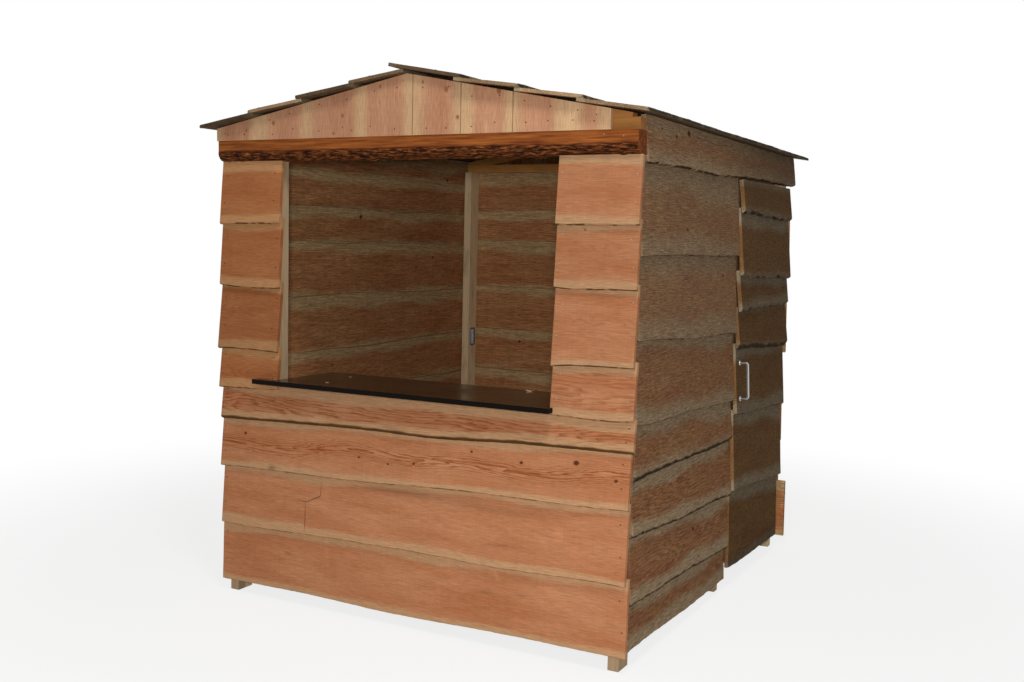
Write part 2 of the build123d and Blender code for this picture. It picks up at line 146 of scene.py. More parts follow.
def read_solids(node):
    """The separate solids of a node, each as its triangles' corners. Loose corners are joined by
    rounding, then the lowest point number spreads over each triangle until it settles, and one number is
    one solid."""
    mesh = nodes[node].data
    places = np.empty(3 * len(mesh.vertices), np.float32)
    mesh.vertices.foreach_get("co", places)
    loops = np.empty(len(mesh.loops), np.int32)
    mesh.loops.foreach_get("vertex_index", loops)
    cells, index = np.unique(np.round(places.reshape(-1, 3) / weld), axis=0, return_inverse=True)
    triangles = index.ravel()[loops].reshape(-1, 3)
    label = np.arange(len(cells))
    settled = False
    while not settled:
        lowest = label.copy()
        np.minimum.at(lowest, triangles, label[triangles].min(axis=1)[:, None].repeat(3, axis=1))
        settled = bool((lowest == label).all())
        label = lowest
    owner = label[triangles[:, 0]]
    return [cells[triangles[owner == name]] * weld for name in np.unique(owner)]


def read_board(corners, out, along):
    """A board's own frame and edges. The outer face is the triangles that face out, its normal the sum of
    theirs, and its rim is parted into the lower and the upper edge by the line between the middles of its
    two ends."""
    normals = np.cross(corners[:, 1] - corners[:, 0], corners[:, 2] - corners[:, 0])
    lengths = np.linalg.norm(normals, axis=1)
    facing = normals @ out > facing_share * lengths
    normal = unit(normals[facing].sum(axis=0))
    along = unit(along - (along @ normal) * normal)
    across = np.cross(normal, along)
    rim = np.unique(np.round(corners[facing].reshape(-1, 3) / weld), axis=0) * weld
    origin = rim.mean(axis=0)
    u, v = (rim - origin) @ along, (rim - origin) @ across
    order = np.argsort(u)
    ends = (order[:2], order[-2:])
    middle = np.interp(u, [u[end].mean() for end in ends], [v[end].mean() for end in ends])
    lower, upper = order[v[order] < middle[order]], order[v[order] >= middle[order]]
    depth = -((corners.reshape(-1, 3) - origin) @ normal).min()
    return SimpleNamespace(origin=origin, along=along, across=across, normal=normal, depth=depth,
                           lower=(u[lower], v[lower]), upper=(u[upper], v[upper]))


def read_boards(node, out, along):
    """All lapped boards of a node, from the lowest to the highest."""
    boards = [read_board(corners, out, along) for corners in read_solids(node)]
    return sorted(boards, key=lambda board: board.origin @ np.cross(out, along))


def board_section(count):
    """One loop round a board: over the outer face from the lower edge to the upper, and back over the
    inner face. Gives each point's share across, share of the lower wane, and share of the thickness."""
    face = np.linspace(0.0, 1.0, count)
    inset, deep = np.array(wane_inset_shares), np.array(wane_depth_shares)
    across = np.concatenate([np.zeros(len(inset)), face, np.ones(len(inset))])
    low = np.concatenate([inset, np.ones(count), np.ones(len(inset))])
    depth = np.concatenate([deep, np.zeros(count), deep[::-1]])
    inner = np.linspace(1.0, 0.0, len(across))
    return (np.concatenate([across, inner]), np.concatenate([low, np.zeros(len(inner))]),
            np.concatenate([depth, np.ones(len(inner))]))


def tube_faces(stations, loop):
    """Faces of a closed loop carried along its stations: a quad between neighbours both ways, the loop
    joined to itself, and each end closed by quads between the loop's first half and its second half
    counted backwards."""
    i, k = np.meshgrid(np.arange(stations - 1), np.arange(loop), indexing="ij")
    n = (k + 1) % loop
    sides = np.stack([i * loop + k, (i + 1) * loop + k, (i + 1) * loop + n, i * loop + n], axis=-1)
    j = np.arange(loop // 2 - 1)
    start = np.stack([j, j + 1, loop - 2 - j, loop - 1 - j], axis=-1)
    end = start[:, ::-1] + (stations - 1) * loop
    return np.concatenate([sides.reshape(-1, 4), start, end])


def board_surface(board, look, place, seed):
    """A live-edge board. Along the board stations s run from one sawn end to the other; across it t runs
    from the lower edge to the upper. The lower edge is the outline's own line plus a ragged wave, the
    wane takes a wandering strip off the outer face there, and the face is lifted by a low cup and chatter
    of the saw. The first and the last station are drawn in by a small arris all round."""
    width = np.ptp(np.concatenate([board.lower[1], board.upper[1]]))
    length = np.ptp(np.concatenate([board.lower[0], board.upper[0]]))
    across, low, depth = board_section(int(round(width / look.spacing)))
    tip = end_arris / length
    s = np.linspace(tip, 1.0 - tip, int(round(length / look.spacing)))
    s = np.concatenate([[0.0], s, [1.0]])[:, None]
    starts = np.interp(across, [0.0, 1.0], [board.lower[0][0], board.upper[0][0]])
    ends = np.interp(across, [0.0, 1.0], [board.lower[0][-1], board.upper[0][-1]])
    u = starts + s * (ends - starts)
    lower = np.interp(u, *board.lower) + waves(u, seed, ragged_lengths, pick(look.ragged, place))
    upper = np.interp(u, *board.upper) + look.rise
    wane = pick(look.wane, place) * (1.0 + waves(u, seed + 2, wane_lengths, look.wane_wander))
    inset = np.where(depth == 1.0, inner_arris, low * wane)
    v = (lower + inset) * (1.0 - across) + upper * across
    lift = relief * (waves(u, seed + 4, cup_lengths, along_share)
                     + waves(v + across_slant * u, seed + 5, cup_lengths, across_share))
    deep = depth * board.depth - np.where(depth == 0.0, lift, 0.0)
    v[tips] = np.clip(v[tips], v[tips].min(axis=1, keepdims=True) + end_arris,
                      v[tips].max(axis=1, keepdims=True) - end_arris)
    deep[tips] = np.clip(deep[tips], end_arris, board.depth - end_arris)
    points = (board.origin + u[..., None] * board.along + v[..., None] * board.across
              - deep[..., None] * board.normal)
    return SimpleNamespace(points=points, u=u + board.origin @ board.along, v=v, deep=deep, lower=v - lower,
                           upper=upper - v, depth=np.broadcast_to(depth, u.shape), length=length, width=width,
                           wane=wane, normal=board.normal)


def upright_surface(corners, out, look, place, seed):
    """A gable board with straight sawn sides: s runs up from the flat foot to the raked top, which is
    read off the solid as height over place across, and t runs across. Each side goes out by its joint's
    own half width, so that some joints close and others stay open, and the face is lifted by a low wave
    that runs askew."""
    points = np.unique(np.round(corners.reshape(-1, 3) / weld), axis=0) * weld
    across_way = np.cross(out, up)
    v0, z0 = points @ across_way, points[:, 2]
    low, high = v0.min() - look.joints[place + 1], v0.max() + look.joints[place]
    foot = z0.min()
    top = z0 > foot + above_foot
    order = np.argsort(v0[top])
    face = (points @ out).max()
    thickness = face - (points @ out).min()
    across, _, depth = board_section(int(round((high - low) / look.spacing)))
    v = low + across * (high - low)
    head = np.interp(v, v0[top][order], z0[top][order])
    s = np.linspace(0.0, 1.0, int(round((z0.max() - foot) / look.spacing)))[:, None]
    u = foot + s * (head - foot)
    v = np.broadcast_to(v, u.shape)
    lift = relief * waves(u + upright_slant * v, seed, cup_lengths, upright_share)
    deep = depth * thickness - np.where(depth == 0.0, lift, 0.0)
    points = v[..., None] * across_way + u[..., None] * up + (face - deep)[..., None] * out
    return SimpleNamespace(points=points, u=u, v=v - (low + high) / 2, deep=deep, lower=v - low,
                           upper=high - v, depth=np.broadcast_to(depth, u.shape), length=np.ptp(u),
                           width=high - low, wane=0.0, normal=out)


def log_figure(surface, look, place, seed):
    """What the log and its handling left in a board, with some painted shade. The ring at a point is its
    distance from a pith line that drifts along the board; each knot swells the rings round it and gives its
    nearness; sapwood is what lies within a wandering width of a live edge; bark stays on the waney edge, in
    patches or, at a level over 1, all along, and on some lap edges also stands in for the shade under the
    lap; worn and stained patches and bands of painted shade are bell-shaped changes of tone; the sawn ends
    have a tone of their own."""
    rng = np.random.default_rng(seed)
    u, v, deep = surface.u, surface.v, surface.deep
    side = rng.uniform(-1.0, 1.0) * look.pith_shift * surface.width
    side = side + waves(u, seed + 1, side_lengths, side_drift) + pick(look.pith_climb, place) * u
    taper = rng.uniform(*look.taper) * rng.choice([-1.0, 1.0])
    behind = (pick(look.pith_depth, place) * rng.uniform(1.0 - pith_spread, 1.0 + pith_spread) + taper * u
              + waves(u, seed + 2, look.drift_lengths, pick(look.pith_drift, place)))
    ring = pick(look.ring_scale, place) * np.hypot(v - side, behind + deep)
    chance = rng.uniform(*knot_chances, (rng.poisson(look.knots_per_metre * surface.length), 3))
    least, most = look.knot_radius
    rows = [(u.min() + share * np.ptp(u), surface.width * (0.5 + look.knot_spread * drift),
             least + size ** 2 * (most - least)) for share, drift, size in chance]
    knot = np.zeros(u.shape)
    for along, height, radius in look.knots.get(place, rows):
        du, dv = u - along, surface.lower - height
        ring += knot_swell * radius * np.exp(-(du / (knot_swell_length * radius)) ** 2
                                             - (dv / (knot_swell_height * radius)) ** 2)
        knot = np.maximum(knot, 1.0 - np.hypot(du / knot_oval, dv) / (knot_reach * radius))
    low_sap = rng.uniform(*look.sap_low) * (1.0 + waves(u, seed + 3, sap_lengths, look.sap_wander))
    high_sap = rng.uniform(*look.sap_high) * (1.0 + waves(u, seed + 4, sap_lengths, look.sap_wander))
    low_sap *= pick(look.low_sap_share, place)
    high_sap *= pick(look.high_sap_share, place)
    for along, extra in look.sap_steps.get(place, ()):
        low_sap += extra * (u < along)
    sap = np.clip(np.maximum(low_sap - surface.lower, high_sap - surface.upper) / sap_reach, -1.0, 1.0)
    sap *= pick(look.sap_depth, place)
    bark_level = pick(look.bark, place)
    barked = surface.wane * (whole_bark if bark_level > 1.0 else patchy_bark)
    edge = (surface.depth < 1.0) & (surface.lower < barked)
    patches = step(-bark_soft, bark_soft, waves(u, seed + 5, bark_lengths, 1.0) + bark_level)
    bark = np.where(edge, patches, 0.0)
    level = pick(look.tone, place) * rng.uniform(1.0 - look.tone_spread, 1.0 + look.tone_spread)
    tone = np.full(u.shape, level)
    for along, height, half_length, half_height, tilt, strength in look.marks.get(place, ()):
        du, dv = u - along, surface.lower - height
        a, b = du * np.cos(tilt) + dv * np.sin(tilt), dv * np.cos(tilt) - du * np.sin(tilt)
        tone *= 1.0 + strength * np.exp(-(a / half_length) ** 2 - (b / half_height) ** 2)
    tone[tips] *= np.array(pick(look.end_tones, place))[:, None]
    strength = pick(look.figure, place) * np.exp(-((v - side) / pick(look.reach, place)) ** 2)
    shift_u, shift_v = (pace * seed % span for pace, span in zip(grain_steps, grain_spans))
    return {"grain": np.stack([u + shift_u, v + shift_v, deep], axis=-1),
            "figure": np.stack([ring, sap, knot], axis=-1),
            "finish": np.stack([tone, bark, strength], axis=-1)}


def ribbon(path, side, widths, thickness):
    """A strip carried along a path: at each station a lens of four points, out to both sides by its own
    half width, up by the thickness and down by a third of it. Up is square to the path and to the
    side."""
    rise = thickness * unit(np.cross(np.gradient(path, axis=0), side))
    out = widths[:, None] * side
    return np.stack([path - out, path + rise, path + out, path - rise / 3.0], axis=1)


def joined(tubes):
    """Several closed loops carried along their stations, as one mesh: their points in one row, and their
    faces counted on."""
    firsts = np.cumsum([0] + [tube[..., 0].size for tube in tubes])
    faces = [tube_faces(*tube.shape[:2]) + first for tube, first in zip(tubes, firsts)]
    return np.concatenate([tube.reshape(-1, 3) for tube in tubes]), np.concatenate(faces)


def new_object(name, data):
    """An object for a mesh, a lamp or a camera, at the origin of the scene."""
    thing = bpy.data.objects.new(name, data)
    bpy.context.scene.collection.objects.link(thing)
    return thing


def new_piece(name, points, blocks, material, body, replaced=(), attributes=None):
    """Puts arrays of points and blocks of faces with equally many corners into a mesh, and the mesh on
    its body."""
    mesh = bpy.data.meshes.new(name)
    sizes = np.concatenate([np.full(len(block), block.shape[1]) for block in blocks])
    loops = np.concatenate([block.ravel() for block in blocks]).astype(np.int32)
    mesh.vertices.add(len(points))
    mesh.vertices.foreach_set("co", points.astype(np.float32).ravel())
    mesh.loops.add(len(loops))
    mesh.loops.foreach_set("vertex_index", loops)
    mesh.polygons.add(len(sizes))
    mesh.polygons.foreach_set("loop_start", (np.cumsum(sizes) - sizes).astype(np.int32))
    mesh.polygons.foreach_set("use_smooth", np.ones(len(sizes), bool))
    for title, values in (attributes or {}).items():
        attribute = mesh.attributes.new(title, "FLOAT_VECTOR", "POINT")
        attribute.data.foreach_set("vector", values.astype(np.float32).ravel())
    mesh.update(calc_edges=True)
    mesh.validate()
    mesh.set_sharp_from_angle(angle=smooth_angle)
    mesh.materials.append(material)
    piece = new_object(name, mesh)
    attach(piece, body)
    if replaced:
        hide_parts(*replaced)


# Materials. Mix takes its factor and two colours at the numbers named here. Map Range takes a value at 0, the
# range that is read at 1 and 2, and the range that is given at 3 and 4.

FACTOR, FIRST, SECOND = 0, 6, 7
usual_settings = {"Mix": {"data_type": "RGBA"}, "Math": {"operation": "MULTIPLY"},
                  "VectorMath": {"operation": "MULTIPLY"}}
main_outputs = {"ShaderNodeMix": 2}

# Patterns in wood: size along the grain, size across it, detail and roughness
board_patterns = {"fibre": (95 * mm, 4.5 * mm, 3.0, 0.6), "cloud": (420 * mm, 75 * mm, 2.0, 0.5),
                  "hair": (36 * mm, 3 * mm, 2.0, 0.5), "shake": (90 * mm, 26 * mm, 2.0, 0.5),
                  "flame": (200 * mm, 11 * mm, 2.0, 0.5), "chatter": (5 * mm, 160 * mm, 1.0, 0.5)}
header_patterns = {"fibre": (230 * mm, 11 * mm, 4.0, 0.65), "fleck": (48 * mm, 8 * mm, 5.0, 0.7)}
timber_grain = (260 * mm, 7 * mm)
stains_per_metre = (6.0, 25.0)

# Figure of a sawn board
ring_spacing, ring_shake, ring_flame = 6.5 * mm, 7 * mm, 13 * mm
late_from, late_full = 0.4, 0.86
cloud_low, cloud_high = 0.3, 0.7
streak_low, streak_high = 0.32, 0.68
fibre_share, hair_share, chatter_share = 1.0, 1.0, 0.25
sap_line_share, sap_fringe = 0.25, 0.5
knot_from, knot_full = 0.56, 0.82

# Stains of planed timber, streaks and flecks of the header and the painted shade and light of its bark's pits
# and ridges, mottling and haze of the counter's film
stain_from, stain_full, stain_share = 0.52, 0.75, 0.55
header_low, header_high = 0.32, 0.66
fleck_from, fleck_full = 0.46, 0.68
pit_painted_shade, ridge_painted_light = 0.4, 1.3
mottle_size, haze_size = in_mm(35, 220)
haze_low, haze_high = 0.3, 0.7


def linear(hex_colour):
    """An sRGB hex value as linear red, green, blue and a full alpha."""
    srgb = np.array([int(hex_colour[i:i + 2], 16) for i in (1, 3, 5)]) / 255.0
    flat = np.where(srgb <= 0.04045, srgb / 12.92, ((srgb + 0.055) / 1.055) ** 2.4)
    return (*flat.tolist(), 1.0)


def tones(**colours):
    """The colours of a wood's parts, each named and given as an sRGB hex value."""
    return SimpleNamespace(**{part: linear(colour) for part, colour in colours.items()})


def add(tree, kind, inputs=None, **settings):
    """Adds a node with its kind's usual settings and its own, and sets or links each of its inputs. A
    node that is given for an input is linked by its main output."""
    node = tree.nodes.new("ShaderNode" + kind)
    for name, value in {**usual_settings.get(kind, {}), **settings}.items():
        setattr(node, name, value)
    for socket, value in (inputs or {}).items():
        if isinstance(value, bpy.types.Node):
            value = value.outputs[main_outputs.get(value.bl_idname, 0)]
        if isinstance(value, bpy.types.NodeSocket):
            tree.links.new(value, node.inputs[socket])
        else:
            node.inputs[socket].default_value = value
    return node


def new_material(name):
    """An empty material and its node tree."""
    material = bpy.data.materials.new(name)
    material.use_nodes = True
    material.node_tree.nodes.clear()
    return material, material.node_tree


def wood_patterns(tree, patterns):
    """The named patterns of a wood on a board's own grain, each drawn out along the grain by its
    sizes."""
    grain = add(tree, "Attribute", attribute_name="grain").outputs["Vector"]
    found = {}
    for name, (along, across, detail, roughness) in patterns.items():
        way = add(tree, "VectorMath", {0: grain, 1: (1 / along, 1 / across, 1 / across)})
        found[name] = add(tree, "TexNoise", {"Vector": way, "Scale": 1.0, "Detail": detail,
                                             "Roughness": roughness})
    return SimpleNamespace(**found)


def sawn_board(name, palette, sap_soft, contrast, shine):
    """Softwood boards straight off the band saw, live edges left on. The eye gets the rings as arches and
    lines in the salmon heartwood, a paler band of sapwood along the edges, fine fibre streaks and the
    chatter of the saw. Fibres and saw marks are well under a millimetre and are drawn 3 to 5 mm wide so
    that they show."""
    material, tree = new_material(name)
    pattern = wood_patterns(tree, board_patterns)
    figure = add(tree, "Attribute", attribute_name="figure").outputs["Vector"]
    finish = add(tree, "Attribute", attribute_name="finish").outputs["Vector"]
    ring, sap, knot = add(tree, "SeparateXYZ", {0: figure}).outputs
    tone, bark, strength = add(tree, "SeparateXYZ", {0: finish}).outputs

    # Growth rings, shaken by a few millimetres and drawn out into flames along the grain
    shaken = add(tree, "Math", {0: pattern.shake, 1: ring_shake, 2: ring}, operation="MULTIPLY_ADD")
    flamed = add(tree, "Math", {0: pattern.flame, 1: ring_flame, 2: shaken}, operation="MULTIPLY_ADD")
    count = add(tree, "Math", {0: flamed, 1: ring_spacing}, operation="DIVIDE")
    late = add(tree, "ValToRGB", {0: add(tree, "Math", {0: count}, operation="FRACT")})
    ramp = late.color_ramp.elements
    ramp[0].position, ramp[0].color = late_from, (0, 0, 0, 1)
    ramp[1].position, ramp[1].color = late_full, (1, 1, 1, 1)
    ramp.new(1.0).color = (0, 0, 0, 1)
    lines = add(tree, "Math", {0: late, 1: strength})

    # Heartwood with pale drifts, and sapwood whose edge follows the fibres
    drifts = add(tree, "MapRange", {0: pattern.cloud, 1: cloud_low, 2: cloud_high})
    pale = add(tree, "Mix", {FACTOR: drifts, FIRST: palette.heart, SECOND: palette.pale})
    heart = add(tree, "Mix", {FACTOR: lines, FIRST: pale, SECOND: palette.late})
    sap_lines = add(tree, "Math", {0: lines, 1: sap_line_share})
    sapwood = add(tree, "Mix", {FACTOR: sap_lines, FIRST: palette.sap, SECOND: palette.late})
    fringe = add(tree, "Math", {0: pattern.fibre, 1: sap_fringe, 2: sap}, operation="MULTIPLY_ADD")
    sap_part = add(tree, "MapRange", {0: fringe, 1: sap_fringe / 2 - sap_soft, 2: sap_fringe / 2 + sap_soft},
                   interpolation_type="SMOOTHSTEP")
    wood = add(tree, "Mix", {FACTOR: sap_part, FIRST: heart, SECOND: sapwood})

    # Streaks of the fibres and the saw, then knots and bark over them
    level = tone
    shares = ((pattern.fibre, fibre_share), (pattern.hair, hair_share), (pattern.chatter, chatter_share))
    for noise, share in shares:
        streak = add(tree, "MapRange", {0: noise, 1: streak_low, 2: streak_high,
                                        3: 1.0 - share * contrast, 4: 1.0 + share * contrast})
        level = add(tree, "Math", {0: streak, 1: level})
    lit = add(tree, "VectorMath", {0: wood, "Scale": level}, operation="SCALE")
    core = add(tree, "MapRange", {0: knot, 1: knot_from, 2: knot_full}, interpolation_type="SMOOTHSTEP")
    knotted = add(tree, "Mix", {FACTOR: core, FIRST: lit, SECOND: palette.knot})
    bark_tone = add(tree, "Mix", {FACTOR: pattern.shake, FIRST: palette.bark, SECOND: palette.bark_pale})
    colour = add(tree, "Mix", {FACTOR: bark, FIRST: knotted, SECOND: bark_tone})

    height = add(tree, "Math", {0: pattern.chatter, 1: 0.5, 2: pattern.fibre}, operation="MULTIPLY_ADD")
    bump = add(tree, "Bump", {"Height": height, "Strength": 0.35, "Distance": 1 * mm})
    dull = add(tree, "MapRange", {0: pattern.fibre, 3: 0.62, 4: 0.85})
    shader = add(tree, "BsdfPrincipled", {"Base Color": colour, "Roughness": dull,
                                          "Specular IOR Level": shine, "Normal": bump})
    add(tree, "OutputMaterial", {"Surface": shader})
    return material


def planed_timber(name, palette, along):
    """Planed softwood of the posts, studs, plates and rafters and of shavings, and very dark strips of
    painted shade along splits.
    The eye gets straight close grain along the piece, paler and darker bands, and grey handling stains.
    Grain of 2 mm is drawn 7 mm wide so that it shows."""
    material, tree = new_material(name)
    place = add(tree, "TexCoord").outputs["Object"]
    lengthwise = np.abs(along) > 0.5
    grain_way = add(tree, "VectorMath", {0: place, 1: (1 / np.where(lengthwise, *timber_grain)).tolist()})
    grain = add(tree, "TexNoise", {"Vector": grain_way, "Scale": 1.0, "Detail": 3.0, "Distortion": 0.4})
    stain_way = add(tree, "VectorMath", {0: place, 1: np.where(lengthwise, *stains_per_metre).tolist()})
    stain = add(tree, "TexNoise", {"Vector": stain_way, "Scale": 1.0, "Detail": 4.0})
    wood = add(tree, "Mix", {FACTOR: grain, FIRST: palette.late, SECOND: palette.pale})
    grey = add(tree, "MapRange", {0: stain, 1: stain_from, 2: stain_full, 3: 0.0, 4: stain_share})
    colour = add(tree, "Mix", {FACTOR: grey, FIRST: wood, SECOND: palette.stain})
    bump = add(tree, "Bump", {"Height": grain, "Strength": 0.25, "Distance": 0.6 * mm})
    shader = add(tree, "BsdfPrincipled", {"Base Color": colour, "Roughness": 0.7,
                                          "Specular IOR Level": 0.15, "Normal": bump})
    add(tree, "OutputMaterial", {"Surface": shader})
    return material


def barked_header(name, palette):
    """A sawn larch log with its bark left on the lower front. The eye gets an orange sawn face with long
    streaks, a dark red line of inner bark, and rough dark bark with reddish flecks, painted darker in its
    pits and lighter on its ridges as shade and light."""
    material, tree = new_material(name)
    pattern = wood_patterns(tree, header_patterns)
    finish = add(tree, "Attribute", attribute_name="finish").outputs["Vector"]
    bark, rim, ridge = add(tree, "SeparateXYZ", {0: finish}).outputs
    streak = add(tree, "MapRange", {0: pattern.fibre, 1: header_low, 2: header_high})
    wood = add(tree, "Mix", {FACTOR: streak, FIRST: palette.late, SECOND: palette.pale})
    red = add(tree, "MapRange", {0: pattern.fleck, 1: fleck_from, 2: fleck_full})
    plate = add(tree, "Mix", {FACTOR: red, FIRST: palette.bark, SECOND: palette.bark_pale})
    # Bark painted darker in its pits and lighter on its ridges: painted shade and light that follow its
    # relief
    pits = add(tree, "MapRange", {0: ridge, 3: pit_painted_shade, 4: ridge_painted_light})
    plates = add(tree, "VectorMath", {0: plate, "Scale": pits}, operation="SCALE")
    rimmed = add(tree, "Mix", {FACTOR: rim, FIRST: wood, SECOND: palette.inner_bark})
    colour = add(tree, "Mix", {FACTOR: bark, FIRST: rimmed, SECOND: plates})
    bump = add(tree, "Bump", {"Height": pattern.fleck, "Strength": 0.5, "Distance": 3 * mm})
    shader = add(tree, "BsdfPrincipled", {"Base Color": colour, "Roughness": 0.8,
                                          "Specular IOR Level": 0.08, "Normal": bump})
    add(tree, "OutputMaterial", {"Surface": shader})
    return material


def film_faced_plywood(name, film_dark, film_light, sealed_edge):
    """Birch plywood pressed with a phenolic film, edges sealed with dark paint. The eye gets a dark brown
    semi-gloss sheet with faint mottling, hazy handling marks and a soft mirror of what stands behind
    it."""
    material, tree = new_material(name)
    place = add(tree, "TexCoord").outputs
    mottle = add(tree, "TexNoise", {"Vector": place["Object"], "Scale": 1 / mottle_size, "Detail": 4.0})
    haze = add(tree, "TexNoise", {"Vector": place["Object"], "Scale": 1 / haze_size, "Detail": 3.0})
    film = add(tree, "Mix", {FACTOR: mottle, FIRST: linear(film_dark), SECOND: linear(film_light)})
    upward = add(tree, "SeparateXYZ", {0: place["Normal"]}).outputs["Z"]
    level = add(tree, "MapRange", {0: upward, 1: 0.4, 2: 0.6})
    colour = add(tree, "Mix", {FACTOR: level, FIRST: linear(sealed_edge), SECOND: film})
    gloss = add(tree, "MapRange", {0: haze, 1: haze_low, 2: haze_high, 3: 0.12, 4: 0.26})
    bump = add(tree, "Bump", {"Height": mottle, "Strength": 0.06, "Distance": 0.4 * mm})
    shine = add(tree, "MapRange", {0: level, 3: 0.05, 4: 0.4})
    shader = add(tree, "BsdfPrincipled", {"Base Color": colour, "Roughness": gloss,
                                          "Specular IOR Level": shine, "Normal": bump})
    add(tree, "OutputMaterial", {"Surface": shader})
    return material


def metal(name, light, dark, roughness, patch_size):
    """Bare metal: hot-dip zinc shows soft grey spangle, drawn 9 mm wide so that it shows, brushed steel
    an even satin with faint streaks, and nail steel brown rust. The eye gets dull and bright patches."""
    material, tree = new_material(name)
    place = add(tree, "TexCoord").outputs["Object"]
    way = add(tree, "VectorMath", {0: place, 1: [1 / size for size in patch_size]})
    patch = add(tree, "TexNoise", {"Vector": way, "Scale": 1.0, "Detail": 2.0})
    colour = add(tree, "Mix", {FACTOR: patch, FIRST: linear(dark), SECOND: linear(light)})
    dull = add(tree, "MapRange", {0: patch, 3: roughness + 0.12, 4: roughness - 0.08})
    shader = add(tree, "BsdfPrincipled", {"Base Color": colour, "Metallic": 1.0, "Roughness": dull})
    add(tree, "OutputMaterial", {"Surface": shader})
    return material


fresh = tones(heart="#ae6f49", pale="#bd835d", late="#8c4a24", sap="#bb9069", knot="#542a17",
              bark="#33210f", bark_pale="#674623")
amber = tones(heart="#ab673d", pale="#b97a4d", late="#894520", sap="#c49061", knot="#542a17",
              bark="#33210f", bark_pale="#674623")
upright = tones(heart="#ad7a5c", pale="#bb8c6c", late="#9a6443", sap="#bf9a74", knot="#8a5a39",
                bark="#2e1f16", bark_pale="#5b4330")
# The walls inside get their own copy of the larch, darker and greyer, as painted shade
inside = tones(heart="#95613d", pale="#a1734c", late="#794627", sap="#a2855f", knot="#4b2b1c",
               bark="#2a1e16", bark_pale="#5a4835")
weathered = tones(heart="#7a5138", pale="#825f40", late="#5e3d25", sap="#86735a", knot="#3e2d20",
                  bark="#1f160f", bark_pale="#443323")
stained = tones(heart="#69492c", pale="#715534", late="#573820", sap="#80705a", knot="#38261a",
                bark="#1f160f", bark_pale="#443323")
roofing = tones(heart="#5e4834", pale="#6c5740", late="#453224", sap="#6b5c46", knot="#33251a",
                bark="#1c1510", bark_pale="#3f3124")
spruce = tones(late="#9c805f", pale="#c0a686", stain="#837460")
# A paler copy of the spruce for the posts in the back and left corners inside: painted light
spruce_painted_lighter = tones(late="#d2b184", pale="#f2dab2", stain="#9c866a")
plate_spruce = tones(late="#8a5526", pale="#b07a40", stain="#6b5233")
# A brighter copy of the plate spruce for the back plate and rafters: painted light
plate_spruce_painted_lighter = tones(late="#cb833e", pale="#f0b466", stain="#a07c4c")
# Very dark tones of the strips of painted shade along splits
split_shade_tones = tones(late="#3a2013", pale="#5c3520", stain="#2c190f")
orange = tones(late="#5c2b10", pale="#a05c2a", inner_bark="#3c150a", bark="#2a1207", bark_pale="#9c5a2c")

fresh_larch = sawn_board("fresh_band_sawn_larch", fresh, sap_soft=0.28, contrast=0.12, shine=0.1)
amber_larch = sawn_board("amber_band_sawn_larch", amber, sap_soft=0.32, contrast=0.12, shine=0.1)
gable_larch = sawn_board("fresh_upright_larch", upright, sap_soft=0.9, contrast=0.12, shine=0.1)
inside_larch = sawn_board("inside_larch_with_painted_shade", inside, sap_soft=0.6, contrast=0.3, shine=0.05)
weathered_larch = sawn_board("weathered_band_sawn_larch", weathered, sap_soft=0.7, contrast=0.34, shine=0.02)
stained_larch = sawn_board("rain_stained_band_sawn_larch", stained, sap_soft=0.7, contrast=0.34, shine=0.02)
roof_larch = sawn_board("rain_darkened_larch", roofing, sap_soft=0.6, contrast=0.3, shine=0.05)
upright_spruce = planed_timber("planed_spruce_posts", spruce, up)
# Posts at the back and left corners: spruce lightened as painted light
corner_spruce = planed_timber("spruce_posts_with_painted_light", spruce_painted_lighter, up)
level_spruce = planed_timber("sawn_spruce_plates", plate_spruce, right)
# Back plate and rafters: spruce brightened as painted light
back_spruce = planed_timber("spruce_plates_with_painted_light", plate_spruce_painted_lighter, right)
# Painted shade along the splits
split_painted_shade = planed_timber("split_painted_shade", split_shade_tones, right)
shaved_larch = planed_timber("planed_larch_shavings", spruce, right)
header_larch = barked_header("sawn_larch_with_bark", orange)
counter_ply = film_faced_plywood("film_faced_birch_plywood", "#1b1008", "#2c1b0f", "#0e0906")
zinc = metal("hot_dip_galvanised_steel", "#b4b6b6", "#7d8184", 0.42, in_mm(9, 9, 9))
satin = metal("brushed_stainless_steel", "#d2d2cf", "#a9aaa9", 0.3, in_mm(3, 3, 40))
nail_steel = metal("rusted_nail_steel", "#4a3a30", "#241a15", 0.6, in_mm(4, 4, 4))


# Boards of the walls and the roof

base_look = SimpleNamespace(
    spacing=9 * mm, ragged=in_mm(0.5), rise=0.5 * mm, wane=in_mm(6), wane_wander=0.3, bark=(-0.9,),
    pith_shift=0.12, pith_climb=(0.0,), pith_depth=in_mm(50), pith_drift=in_mm(9), taper=in_mm(8, 20),
    drift_lengths=(0.41, 0.83, 1.9), ring_scale=(1.0,), reach=(0.4,), figure=(0.5, 0.35, 0.6),
    knots_per_metre=1.2, knot_radius=in_mm(5, 15), knot_spread=0.28, knots={},
    sap_low=in_mm(24, 34), sap_high=in_mm(22, 40), sap_wander=0.16, sap_steps={},
    low_sap_share=(1.0,), high_sap_share=(1.0,), sap_depth=(1.0,),
    tone=(1.0,), tone_spread=0.05, end_tones=((1.0, 1.0),), marks={})


def look(base, **changes):
    """How the boards of one wall look: another look with this wall's changes. Rows of values go by board,
    lowest first. Knots give place along, height above the lower edge and radius; marks give place,
    height, half length, half height, tilt and change of tone."""
    return SimpleNamespace(**{**vars(base), **changes})


